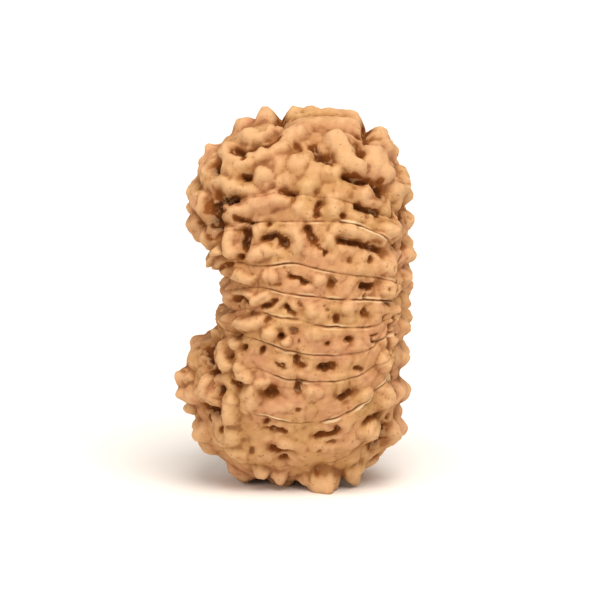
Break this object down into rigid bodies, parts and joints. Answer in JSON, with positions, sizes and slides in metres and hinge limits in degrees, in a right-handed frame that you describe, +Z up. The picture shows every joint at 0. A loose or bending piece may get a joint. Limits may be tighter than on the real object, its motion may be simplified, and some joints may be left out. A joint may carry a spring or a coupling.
{
  "type": "nineteen mukhi rudraksha",
  "caption": "Long kidney-shaped rudraksha bead with raised ribs between its lines, knobs, pits and gullies, standing on its lower end.",
  "frame": {"origin": "middle of the bounding box on the surface that the bead stands on", "axes": "+Z up along the long axis, +X along the pole axis to the right pole, -X to the pole in the hollow, front towards -Y"},
  "size_m": [0.0214, 0.0188, 0.034],
  "materials": {
    "endocarp": "matt, dry, slightly waxy on the knobs"
  },
  "bodies": {
    "root": {"bead": "endocarp"}
  },
  "joints": []
}
